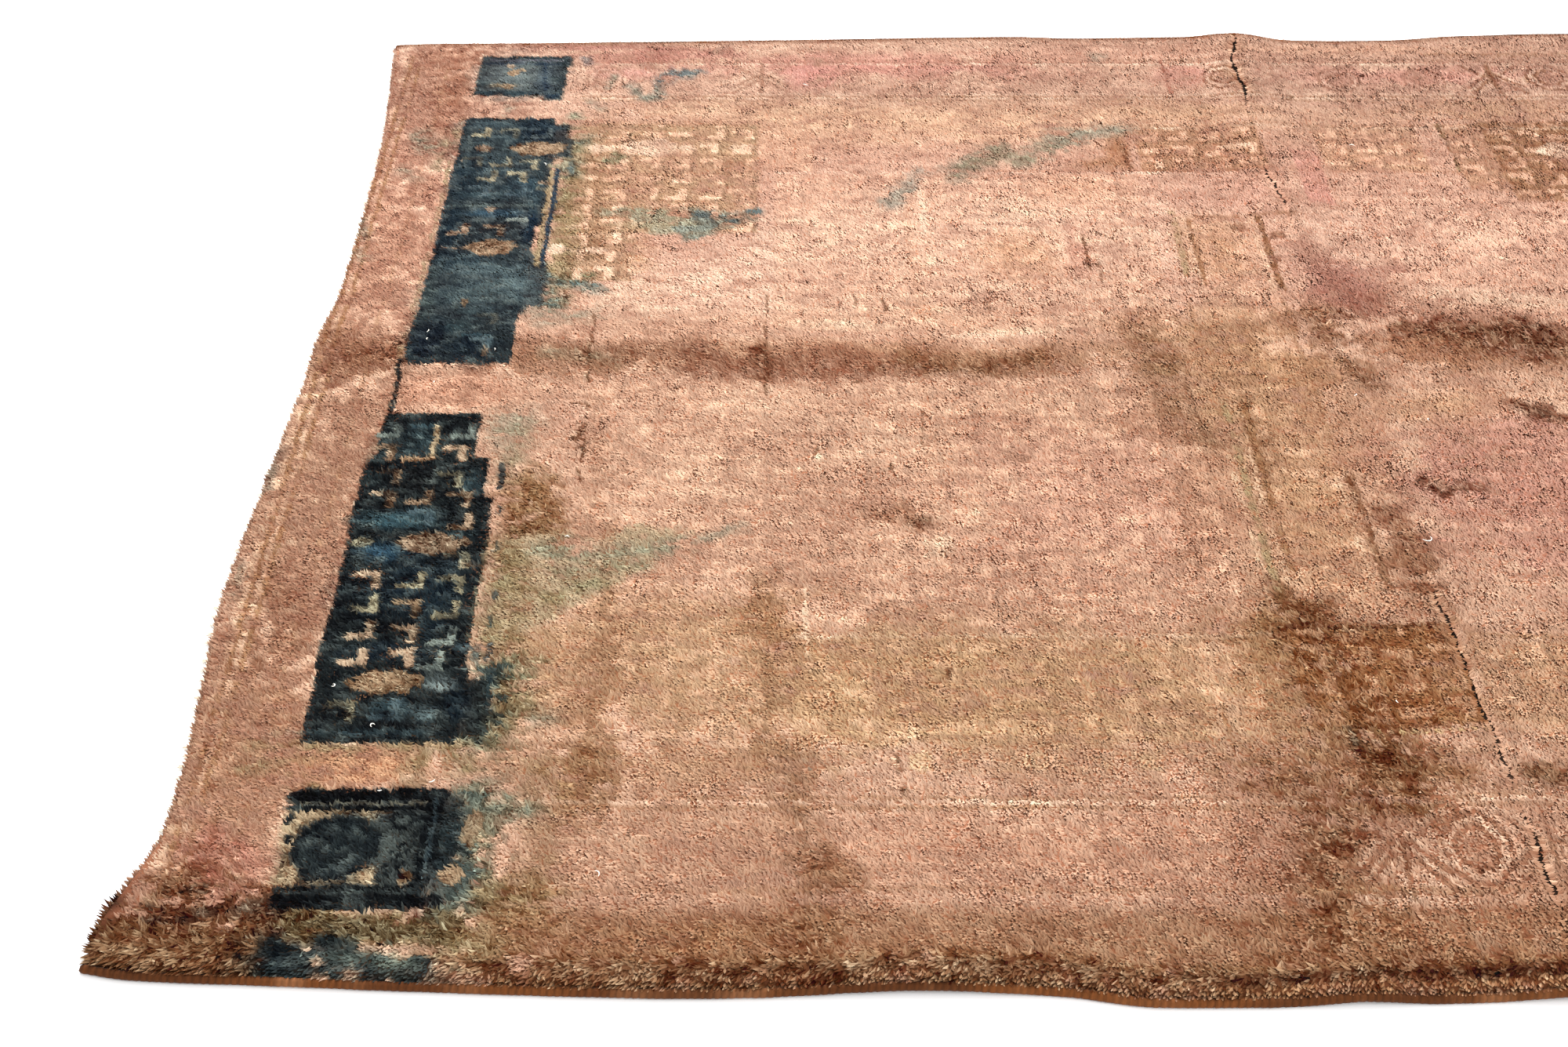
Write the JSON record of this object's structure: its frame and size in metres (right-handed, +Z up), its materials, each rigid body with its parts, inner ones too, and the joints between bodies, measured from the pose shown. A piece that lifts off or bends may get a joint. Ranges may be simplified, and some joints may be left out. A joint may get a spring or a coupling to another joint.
{
  "type": "persian rug",
  "caption": "Worn, overdyed hand-knotted wool rug with ghosted borders, indigo remnants, soft storage folds, overcast sides and cut warp ends.",
  "frame": {"origin": "middle of the underside of the whole rug, on the floor", "axes": "+X along the rug's length, +Y across it from the near to the far long side, +Z up out of the pile"},
  "size_m": [2.7998, 2.038, 0.0264],
  "materials": {
    "wool_pile": "plush hand-knotted wool pile, overdyed peach with ghosted borders, browned patches and indigo remnants",
    "wool_overcast": "brown wool yarn wrapped round the side cords",
    "cotton_warp": "undyed cream cotton web and cut warp bundles"
  },
  "bodies": {
    "root": {"knotted_cloth": "wool_pile", "near_side_cord": "wool_overcast", "far_side_cord": "wool_overcast", "left_end_web": "cotton_warp", "right_end_web": "cotton_warp"}
  },
  "joints": []
}
